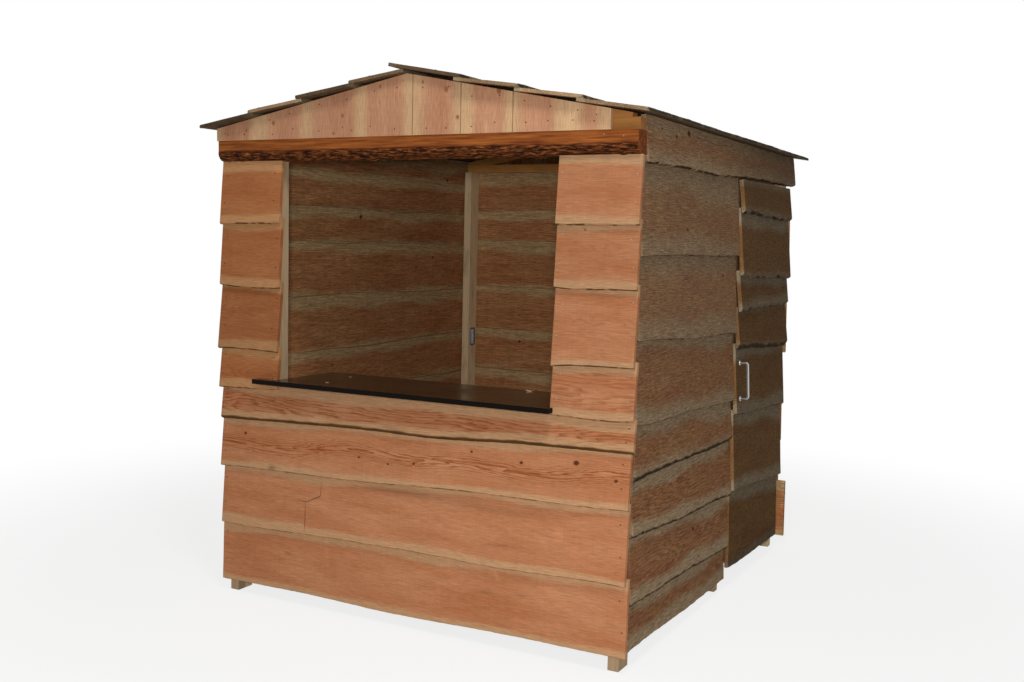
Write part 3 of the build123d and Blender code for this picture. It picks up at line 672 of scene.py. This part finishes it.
slow_drift = (0.9, 1.9, 3.7)
row_knots = {2: [(-0.852, 0.154, 6 * mm), (-0.225, 0.103, 5 * mm), (-0.076, 0.086, 5 * mm),
                 (0.052, 0.094, 5 * mm), (0.322, 0.163, 5 * mm), (0.548, 0.142, 6 * mm),
                 (0.783, 0.166, 9 * mm), (0.95, 0.11, 6 * mm)]}
front_marks = {0: [(-0.609, 0.169, 0.02, 0.007, 0.0, -0.3), (0.395, 0.16, 0.03, 0.007, 0.0, -0.3),
                   (0.558, 0.17, 0.02, 0.007, 0.0, -0.22), (0.445, 0.23, 0.028, 0.007, -0.92, 0.22),
                   (0.70, 0.2, 0.05, 0.02, -0.6, 0.1), (-0.4, 0.2, 0.012, 0.05, 0.0, 0.1)],
               # On board 1 the first two marks darken a band along its top, under the lap of board 2: painted
               # shade
               1: [(0.0, 0.244, 0.2, 0.02, 0.0, -0.2), (0.3, 0.235, 0.45, 0.02, 0.0, -0.2),
                   (0.652, 0.126, 0.035, 0.01, -0.8, 0.16), (0.72, 0.17, 0.04, 0.01, -0.9, 0.16),
                   (0.463, 0.093, 0.06, 0.008, 0.0, -0.2), (0.30, 0.16, 0.06, 0.03, 0.3, 0.08)],
               2: [(-0.69, 0.014, 0.022, 0.012, 0.0, -0.5)],
               3: [(-0.069, 0.021, 0.05, 0.01, 0.0, -0.25), (0.288, 0.012, 0.05, 0.01, 0.0, -0.25)]}
front_look = look(
    # The bark on the lower edges of boards 1 and 2 darkens the lines under their laps: partly real bark,
    # partly painted shade
    base_look, spacing=7.3 * mm, wane=in_mm(5, 5, 5, 10), wane_wander=0.15, bark=(-0.9, 0.3, 0.1, 2.0),
    pith_shift=0.04, pith_climb=in_mm(0, 0, 30, 0), pith_depth=in_mm(60, 60, 13, 80),
    pith_drift=in_mm(9, 9, 8, 18), drift_lengths=slow_drift, ring_scale=(1.0, 1.0, 1.0, 0.75),
    reach=(0.4, 0.4, 0.036, 0.4), figure=(0.12, 0.14, 1.2, 0.9), knots=row_knots, knots_per_metre=0.0,
    sap_high=in_mm(44, 56), sap_steps={1: [(-0.508, 14 * mm)], 3: [(1.1, 16 * mm)]},
    # Board 3's tone of 0.88 is partly painted shade of the counter above it
    low_sap_share=(1.0, 1.0, 0.8, 0.9), tone=(1.0, 0.98, 0.94, 0.88), tone_spread=0.01, marks=front_marks)

short_knots = {0: [], 1: [], 2: [(0.79, 0.225, 4 * mm)], 3: []}
short_look = look(
    base_look, spacing=8 * mm, bark=(0.2, 0.9, 0.4, -0.2), pith_depth=in_mm(60), taper=in_mm(90, 110),
    ring_scale=(0.4, 1.0, 1.0, 1.0), figure=(0.6, 0.3, 0.25, 0.12), knots=short_knots, knots_per_metre=0.5,
    knot_radius=in_mm(4, 9), sap_low=in_mm(26, 50), sap_high=in_mm(36, 52), tone=(0.84, 0.8, 0.8, 0.8))
left_look = look(
    short_look, pith_depth=in_mm(50), taper=in_mm(8, 20), ring_scale=(1.0,), figure=(0.35, 0.3, 0.2, 0.12),
    knots={}, tone=(0.8, 0.7, 0.72, 0.76))

panel_look = look(
    base_look, ragged=in_mm(0.8, 1.4, 1.4, 1.6, 0.5), wane=in_mm(6, 8, 8, 12, 4, 3, 3),
    # Board 3's bark all along its lower edge, over its wider wane, darkens the open gap at its lap: partly
    # real bark, partly painted shade
    bark=(0.2, 1.3, 1.2, 2.0, -0.1, -0.4, -0.4), pith_depth=in_mm(40), pith_drift=in_mm(22),
    drift_lengths=slow_drift, ring_scale=(0.6,), figure=(0.7, 0.75, 0.8, 0.55, 0.35, 0.3, 0.3),
    knots_per_metre=0.6, knot_radius=in_mm(4, 9), sap_low=in_mm(45, 70), sap_high=in_mm(55, 85),
    sap_wander=0.22, low_sap_share=(1.0, 1.0, 1.0, 0.7, 1.0, 1.5, 1.1),
    high_sap_share=(1.0, 1.0, 1.0, 1.0, 1.0, 1.3, 2.2), sap_depth=(0.9, 1.0, 1.0, 0.6, 0.5, 0.25, 0.25),
    tone=(1.18, 1.22, 1.22, 1.12, 1.0, 1.0, 1.0), tone_spread=0.04)
top_knots = {0: [(-0.865, 0.135, 6 * mm), (-0.71, 0.118, 8 * mm), (-0.562, 0.14, 12 * mm),
                 (-0.451, 0.138, 6 * mm)]}
top_look = look(
    panel_look, ragged=in_mm(1.6), rise=3 * mm, wane=in_mm(7), bark=(0.6,), figure=(0.5,), knots=top_knots,
    low_sap_share=(0.85,), high_sap_share=(0.6,), sap_depth=(0.3,), tone=(1.34,),
    marks={0: [(1.0, 0.1, 0.9, 1.0, 0.0, -0.45)]})
door_look = look(
    panel_look, ragged=in_mm(0.6, 0.6, 0.8, 3.4, 3.4, 3.4, 3.4), wane=in_mm(4, 4, 5, 13, 13, 13, 13),
    bark=(-0.4, -0.4, 0.2, 1.6), figure=(0.2, 0.25), low_sap_share=(0.6, 1.0, 1.0, 0.3, 0.8, 0.3, 0.35),
    high_sap_share=(1.0, 1.0, 1.0, 0.3, 0.8, 1.0, 0.25), sap_depth=(0.8,),
    tone=(0.72, 0.76, 0.68, 0.64, 0.66, 0.7, 0.64), end_tones=((2.2, 1.0),),
    # Board 0 is darker along its bottom edge
    marks={0: [(0.6, 0.0, 1.5, 0.05, 0.0, -0.45)]})

far_look = look(
    base_look, spacing=14 * mm, bark=(-0.2,), figure=(0.25, 0.15), knots_per_metre=0.6,
    knot_radius=in_mm(5, 11), sap_low=in_mm(22, 40), sap_high=in_mm(30, 75), sap_wander=0.25, tone=(1.18,))
far_top_look = look(far_look, rise=3 * mm)
# The back wall's tone of 1.4 lifts the darker inside larch again, as painted light
back_look = look(far_look, tone=(1.4,), end_tones=((0.6, 0.6),))
roof_look = look(
    base_look, spacing=19 * mm, ragged=in_mm(2.6), bark=(0.6,), figure=(0.6, 0.4), sap_wander=0.35,
    tone=(0.8, 1.1, 0.9, 1.0))
left_roof_look = look(roof_look, end_tones=((1.0, 0.7), (1.0, 2.4), (1.0, 0.8), (1.0, 1.2)))
right_roof_look = look(roof_look, end_tones=((2.6, 1.0), (2.4, 1.0), (2.2, 1.0), (0.9, 1.0)))

closed, ajar = 1.4 * mm, -0.6 * mm
gable_look = look(
    base_look, bark=(-9.0,), figure=(0.3, 0.2), knots_per_metre=2.0, knot_radius=in_mm(4, 9),
    sap_low=in_mm(18, 60), sap_high=in_mm(18, 60), tone=(0.96, 1.0, 0.97, 1.0, 0.98, 1.0, 1.0, 1.08),
    joints=(0.0, closed, closed, closed, ajar, ajar, ajar, closed, 0.0))
gable_knots = {1: [(2.11, 0.18, 8 * mm)],
               2: [(2.129, 0.094, 7 * mm), (2.058, 0.139, 6 * mm), (2.068, 0.049, 5 * mm)],
               3: [(2.24, 0.155, 6 * mm), (2.258, 0.042, 5 * mm)],
               4: [(2.214, 0.066, 9 * mm), (2.248, 0.176, 6 * mm), (2.105, 0.012, 7 * mm)],
               5: [(2.198, 0.06, 9 * mm)]}
front_gable_look = look(gable_look, knots=gable_knots, knots_per_metre=0.0)

# Each node of boards: outward, along, look, material, slot, body
roof_slope = 0.2
left_slope, right_slope = unit(left * roof_slope + up), unit(right * roof_slope + up)
walls = {
    "front_lower_boards": (front, right, front_look, fresh_larch, "live_edge_board", "kiosk"),
    "front_left_boards": (front, right, left_look, amber_larch, "live_edge_board", "kiosk"),
    "front_right_boards": (front, right, short_look, fresh_larch, "live_edge_board", "kiosk"),
    "right_panel_boards": (right, back, panel_look, weathered_larch, "live_edge_board", "kiosk"),
    "right_top_board": (right, back, top_look, weathered_larch, "live_edge_board", "kiosk"),
    "door_boards": (right, back, door_look, stained_larch, "live_edge_board", "door"),
    "left_wall_boards": (left, front, far_look, inside_larch, "live_edge_board", "kiosk"),
    "left_top_board": (left, front, far_top_look, inside_larch, "live_edge_board", "kiosk"),
    "back_wall_boards": (back, left, back_look, inside_larch, "live_edge_board", "kiosk"),
    "roof_left_boards": (left_slope, front, left_roof_look, roof_larch, "roof_board", "kiosk"),
    "roof_right_boards": (right_slope, back, right_roof_look, roof_larch, "roof_board", "kiosk"),
    "front_gable_boards": (front, up, front_gable_look, gable_larch, "gable_board", "kiosk"),
    "back_gable_boards": (back, up, gable_look, inside_larch, "gable_board", "kiosk"),
}
wall_seed, figure_seed, board_seed = 1000, 500, 20

surfaces = {}
for number, (node, (out, along, style, wood, slot, body)) in enumerate(walls.items()):
    seed = wall_seed * number
    if along is up:
        surfaces[node] = [upright_surface(corners, out, style, place, seed + board_seed * place)
                          for place, corners in enumerate(read_solids(node))]
    else:
        surfaces[node] = [board_surface(board, style, place, seed + board_seed * place)
                          for place, board in enumerate(read_boards(node, out, along))]
    figures = [log_figure(surface, style, place, seed + figure_seed + board_seed * place)
               for place, surface in enumerate(surfaces[node])]
    attributes = {title: np.concatenate([figure[title].reshape(-1, 3) for figure in figures])
                  for title in figures[0]}
    points, faces = joined([surface.points for surface in surfaces[node]])
    new_piece("dressed_" + node, points, [faces], wood, body, [node], attributes)


# Header with its bark

header_arris = 2 * mm
end_grain_and_painted_shade, end_ridge = 0.3, 0.5
round_rise, round_run = 40 * mm, 46 * mm
face_count, turn_count, under_count, rear_count, over_count, header_stations = 14, 22, 8, 14, 16, 320
rim_lengths = (0.09, 0.19, 0.45, 1.1)
rim_drift, rim_lift, rim_soft, rim_line = in_mm(2.2, 2, 3, 5)
bark_plate, bark_stretch = 28 * mm, 6.0
bark_stand, bark_ridge = 1 * mm, 2.5 * mm
hang_lengths, hang_depth, hang_from = (0.07, 0.16, 0.37, 0.8), 5 * mm, 0.4
saw_lengths, saw_depth = (0.2, 0.7), 0.6 * mm
rim_seed, ridge_seed, saw_seed, hang_seed = 71, 72, 73, 74


def header_surface():
    """The header's section carried along its length. From the top front corner the loop runs down the
    sawn face, round a quarter of an ellipse where the log was round, along the underside, up the back and
    over the top. Bark stands off the round by a folded roughness and hangs in a wave below it, and its
    upper rim wanders up and down the face. The first and the last station are drawn in by a small arris
    and show the bare end grain, darkened towards the inner bark's red partly as painted shade."""
    low, high = (np.array(corner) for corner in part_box("header_beam"))
    face = np.linspace(high[2], low[2] + round_rise, face_count)
    turn = np.linspace(0.0, np.pi / 2, turn_count)[1:]
    under = np.linspace(low[1] + round_run, high[1], under_count)[1:]
    rear = np.linspace(low[2], high[2], rear_count)[1:]
    over = np.linspace(high[1], low[1], over_count)[1:-1]
    arc_y, arc_z = low[1] + round_run * (1 - np.cos(turn)), low[2] + round_rise * (1 - np.sin(turn))
    # Each stretch of the loop: its places back and up, and the way in which bark stands off there
    stretches = [(low[1], face, -1.0, 0.0), (arc_y, arc_z, -np.cos(turn), -np.sin(turn)),
                 (under, low[2], 0.0, -1.0), (high[1], rear, 0.0, 0.0), (over, high[2], 0.0, 0.0)]
    y, z, normal_y, normal_z = np.concatenate([np.broadcast_arrays(*row) for row in stretches], axis=1)
    x = np.linspace(low[0] + header_arris, high[0] - header_arris, header_stations)
    x = np.concatenate([[low[0]], x, [high[0]]])[:, None]
    girth = np.concatenate([[0.0], np.cumsum(np.hypot(np.diff(y), np.diff(z)))])
    on_front = girth <= girth[len(face) + len(turn) + 1]
    rim = high[2] - low[2] - round_rise + rim_lift + waves(x, rim_seed, rim_lengths, rim_drift)
    bark = np.where(on_front, step(-rim_soft, rim_soft, girth - rim), 0.0)
    ridge = rough(x / bark_stretch, girth, ridge_seed, bark_plate, 1.0)
    hang = step(hang_from, 1.0, -normal_z) * waves(x, hang_seed, hang_lengths, hang_depth)
    sawn = waves(x, saw_seed, saw_lengths, saw_depth)
    stand = bark * (bark_stand + bark_ridge * ridge + hang) + (1 - bark) * sawn
    points = np.stack([np.broadcast_to(x, stand.shape), y + normal_y * stand, z + normal_z * stand], axis=-1)
    points[tips, :, 1:] = np.clip(points[tips, :, 1:], low[1:] + header_arris, high[1:] - header_arris)
    line = np.where(on_front, np.exp(-((girth - rim) / rim_line) ** 2), 0.0)
    grain = np.stack(np.broadcast_arrays(x, girth, 0.0), axis=-1)
    grain[tips] = points[tips]
    finish = np.stack([bark, line, np.clip(ridge + 0.5, 0.0, 1.0)], axis=-1)
    # Sawn ends: end grain darkened towards the inner bark's red, partly as painted shade
    finish[tips] = (0.0, end_grain_and_painted_shade, end_ridge)
    return points, {"grain": grain, "finish": finish}


header_tube, header_attributes = header_surface()
header_points, header_faces = joined([header_tube])
new_piece("dressed_header", header_points, [header_faces[:, ::-1]], header_larch, "kiosk",
          ["header_beam"], header_attributes)


# Nails

nail_radius = 2.6 * mm
nail_segments = 8
nail_radius_shares = np.array([0.7, 1.0, 1.0])
nail_height_shares = np.array([0.55, 0.2, -0.35])
nail_pole_shares = np.array([0.7, -0.35])
nail_inset = 32 * mm
nail_shares = (0.34, 0.72)
nail_seed = 31000


def nail_heads(places, normals):
    """Round nail heads: a low dome profile turned about each nail's own axis, closed underneath, all in
    one mesh."""
    radii, heights = (nail_radius * shares[:, None, None, None]
                      for shares in (nail_radius_shares, nail_height_shares))
    turn = np.arange(nail_segments) * 2 * np.pi / nail_segments
    helper = np.where(np.abs(normals[:, 2:3]) > facing_share, right, up)
    side = unit(np.cross(helper, normals))
    other = np.cross(normals, side)
    wheel = np.cos(turn)[:, None, None] * side + np.sin(turn)[:, None, None] * other
    rings = (places + radii * wheel + heights * normals).transpose(2, 0, 1, 3)
    poles = (places + nail_radius * nail_pole_shares[:, None, None] * normals).transpose(1, 0, 2)
    points = np.concatenate([rings.reshape(len(places), -1, 3), poles], axis=1)
    k = np.arange(nail_segments)
    n = (k + 1) % nail_segments
    rows = np.arange(len(nail_radius_shares) - 1)[:, None] * nail_segments
    above = rows + nail_segments
    quads = np.stack([above + k, above + n, rows + n, rows + k], axis=-1).reshape(-1, 4)
    top = len(nail_radius_shares) * nail_segments
    foot = top - nail_segments
    caps = np.concatenate([np.stack([k, n, np.full(nail_segments, top)], axis=-1),
                           np.stack([foot + n, foot + k, np.full(nail_segments, top + 1)], axis=-1)])
    shift = (np.arange(len(places)) * points.shape[1])[:, None, None]
    return points.reshape(-1, 3), [(quads + shift).reshape(-1, 4), (caps + shift).reshape(-1, 3)]


def nail_places(surface, seed):
    """Two nails near each end of a board, about a third and two thirds across its outer face, each a
    little off: points of the board's own grid."""
    rng = np.random.default_rng(seed)
    stations, loop = surface.u.shape
    inset = max(1, int(round(nail_inset * stations / surface.length)))
    rows = np.array([inset, stations - 1 - inset]).repeat(2) + rng.integers(-1, 2, 4)
    columns = (np.tile(nail_shares, 2) * loop / 2).astype(int) + rng.integers(-1, 2, 4)
    return surface.points[rows, columns], np.tile(surface.normal, (4, 1))


header_nails = (np.array([[0.863, -1.1155, 2.024], [0.942, -1.1155, 2.015]]), np.tile(front, (2, 1)))
bright = ["front_right_boards"]
on_door = ["door_boards"]
rusted = [node for node in walls if node not in bright + on_door]
nail_groups = {
    "rusted_nails": ("kiosk", nail_steel, rusted, []),
    "bright_nails": ("kiosk", zinc, bright, [header_nails]),
    "door_nails": ("door", nail_steel, on_door, []),
}
for number, (name, (body, steel, group, extra)) in enumerate(nail_groups.items()):
    found = [nail_places(surface, nail_seed + 100 * number + 10 * row + place)
             for row, node in enumerate(group) for place, surface in enumerate(surfaces[node])]
    places, normals = (np.concatenate(rows) for rows in zip(*found, *extra))
    nail_points, nail_blocks = nail_heads(places, normals)
    new_piece(name, nail_points, nail_blocks, steel, body)


# Strips of painted shade along splits in two boards, and shavings on the counter

split_pace, split_jitter, split_lift = in_mm(6, 1, 0.4)
split_width, split_end_share = 1.1 * mm, 0.25
strip_thickness = 0.5 * mm
shaving_turn, shaving_stations = 1.5, 22
shaving_width_share, shaving_rise_share, shaving_lean = 0.15, 0.12, 0.4
shaving_lengths, shaving_even, shaving_uneven = (1.3, 2.9), 0.8, 0.2
shaving_gap = 0.3 * mm
split_seed, shaving_seed = 41000, 42000


def split_strip(board, rows, seed):
    """A dark strip of painted shade along a split, on a broken line over a board's face: stations about 6 mm
    apart between the given places, each with a small seeded step aside, and a half width that swells from
    the ends to the middle as a sine."""
    along, height = np.array(rows).T
    reach = np.concatenate([[0.0], np.cumsum(np.hypot(np.diff(along), np.diff(height)))])
    s = np.linspace(0.0, reach[-1], int(reach[-1] / split_pace))
    u = np.interp(s, reach, along) - board.origin @ board.along
    v = np.interp(s, reach, height) + np.interp(u, *board.lower)
    v = v + np.random.default_rng(seed).uniform(-split_jitter, split_jitter, len(s))
    path = board.origin + u[:, None] * board.along + v[:, None] * board.across + split_lift * board.normal
    side = unit(np.cross(board.normal, np.gradient(path, axis=0)))
    widths = (split_end_share + np.sin(np.pi * s / reach[-1])) * split_width
    return ribbon(path, side, widths, strip_thickness)


def shaving(place, heading, size, seed):
    """A curled shaving: a strip on its edge, leaning back, carried along an arc of a circle whose ends
    bend away and rise with the square of the turn."""
    turn = np.linspace(-shaving_turn, shaving_turn, shaving_stations)
    way = np.array([np.cos(heading), np.sin(heading), 0.0])
    away = np.cross(up, way)
    widths = shaving_width_share * size * (shaving_even + waves(turn, seed, shaving_lengths, shaving_uneven))
    rise = widths + shaving_rise_share * size * turn ** 2 + shaving_gap
    path = (np.array(place) + size * np.sin(turn)[:, None] * way + size * (1.0 - np.cos(turn))[:, None] * away
            + rise[:, None] * up)
    side = np.tile(unit(up + shaving_lean * away), (len(turn), 1))
    return ribbon(path, side, widths, strip_thickness)


second_board = read_boards("front_lower_boards", front, right)[1]
top_board = read_boards("right_top_board", right, back)[0]
split_rows = [(second_board, [(-0.555, 0.151), (-0.502, 0.146), (-0.431, 0.178), (-0.428, 0.235)]),
              (second_board, [(-0.510, 0.144), (-0.507, 0.069), (-0.509, 0.004)]),
              (top_board, [(-0.45, 0.136), (-0.19, 0.13), (0.04, 0.142)])]
splits = [split_strip(board, rows, split_seed + place) for place, (board, rows) in enumerate(split_rows)]
counter_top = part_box("counter")[1][2]
shaving_rows = [(0.409, -0.775, 0.5, 16 * mm), (-0.428, -1.06, 0.9, 8 * mm), (-0.468, -0.845, 0.2, 6 * mm)]
shavings = [shaving((x, y, counter_top), heading, size, shaving_seed + place)
            for place, (x, y, heading, size) in enumerate(shaving_rows)]
strip_pieces = {"front_split_painted_shade": (splits, split_painted_shade, "live_edge_board"),
                "shavings": (shavings, shaved_larch, "post_timber")}
for name, (strips, wood, slot) in strip_pieces.items():
    strip_points, strip_faces = joined(strips)
    new_piece(name, strip_points, [strip_faces], wood, "kiosk")


# Nodes that keep their own shape

own_materials = {
    upright_spruce: ["front_posts", "right_posts", "jamb_studs", "door_stiles"],
    corner_spruce: ["back_posts", "left_posts"],
    level_spruce: ["front_top_plate", "front_rafters", "sill_rail"],
    back_spruce: ["back_top_plate", "back_rafters"],
    counter_ply: ["counter"],
    zinc: ["corner_latches", "hinge_door_leaves", "hinge_post_leaves"],
    satin: ["door_handle"],
}
for material, names in own_materials.items():
    for name in names:
        nodes[name].data.materials.clear()
        nodes[name].data.materials.append(material)


# Floor, world, lamps and camera

floor_size = 14.0
floor_fade = (1.8, 4.5)
floor_white_share = 0.8
white = (1.0, 1.0, 1.0, 1.0)
ambient = 0.3
kiosk_middle = Vector((0.0, 0.0, 1.1))

# Place, size and watts of each soft box: the key stands beside the camera
lamps = {"key": ((2.5, -5.0, 1.77), 0.28, 97.0), "high_lamp": ((1.8, -2.9, 5.0), 0.8, 80.0)}


def seen_share(tree):
    """1 for what the camera sees straight, in a mirror or through glass, and 0 for light on other
    ways."""
    rays = add(tree, "LightPath").outputs
    seen = add(tree, "Math", {0: rays["Is Camera Ray"], 1: rays["Is Glossy Ray"]}, operation="MAXIMUM")
    return add(tree, "Math", {0: seen, 1: rays["Is Transmission Ray"]}, operation="MAXIMUM")


def studio_floor():
    """A pale matt sheet: it takes the kiosk's shadow near by, and far off it passes into the white
    background."""
    material, tree = new_material("pale_matt_floor")
    place = add(tree, "TexCoord").outputs["Object"]
    reach = add(tree, "VectorMath", {0: place}, operation="LENGTH").outputs["Value"]
    far = add(tree, "MapRange", {0: reach, 1: floor_fade[0], 2: floor_fade[1], 3: floor_white_share, 4: 1.0},
              interpolation_type="SMOOTHSTEP")
    share = add(tree, "Math", {0: far, 1: seen_share(tree)})
    paper = add(tree, "BsdfDiffuse", {"Color": linear("#efeeec")})
    glow = add(tree, "Emission", {"Color": white, "Strength": 1.0})
    mixed = add(tree, "MixShader", {0: share, 1: paper, 2: glow})
    add(tree, "OutputMaterial", {"Surface": mixed})
    edge = floor_size * np.array([[-1, -1, 0], [1, -1, 0], [1, 1, 0], [-1, 1, 0]])
    mesh = bpy.data.meshes.new("floor")
    mesh.from_pydata(edge.tolist(), [], [(0, 1, 2, 3)])
    mesh.materials.append(material)
    new_object("floor", mesh)


def studio_world():
    """Even pale light from all round, seen as white behind the kiosk."""
    world = bpy.data.worlds.new("studio")
    bpy.context.scene.world = world
    world.use_nodes = True
    tree = world.node_tree
    tree.nodes.clear()
    strength = add(tree, "MapRange", {0: seen_share(tree), 3: ambient, 4: 1.0})
    light = add(tree, "Background", {"Color": white, "Strength": strength})
    add(tree, "OutputWorld", {"Surface": light})


def soft_lamp(name, place, size, watts):
    """A square soft box at a place, turned to face the middle of the kiosk."""
    lamp = bpy.data.lights.new(name, "AREA")
    lamp.shape, lamp.size, lamp.energy = "SQUARE", size, watts
    holder = new_object(name, lamp)
    holder.location = place
    holder.rotation_euler = (kiosk_middle - Vector(place)).to_track_quat("-Z", "Y").to_euler()


studio_floor()
studio_world()
for name, (place, size, watts) in lamps.items():
    soft_lamp(name, place, size, watts)

camera_data = bpy.data.cameras.new("camera")
camera_data.sensor_width = sensor_width
camera_data.lens = focal_pixels * sensor_width / image_width
camera = new_object("camera", camera_data)
turn = (Matrix.Rotation(camera_yaw, 4, "Z") @ Matrix.Rotation(camera_pitch, 4, "X")
        @ Matrix.Rotation(camera_roll, 4, "Y") @ Matrix.Rotation(radians(90), 4, "X"))
camera.matrix_world = Matrix.Translation(camera_place) @ turn
bpy.context.scene.camera = camera
bpy.context.scene.view_settings.view_transform = "Standard"
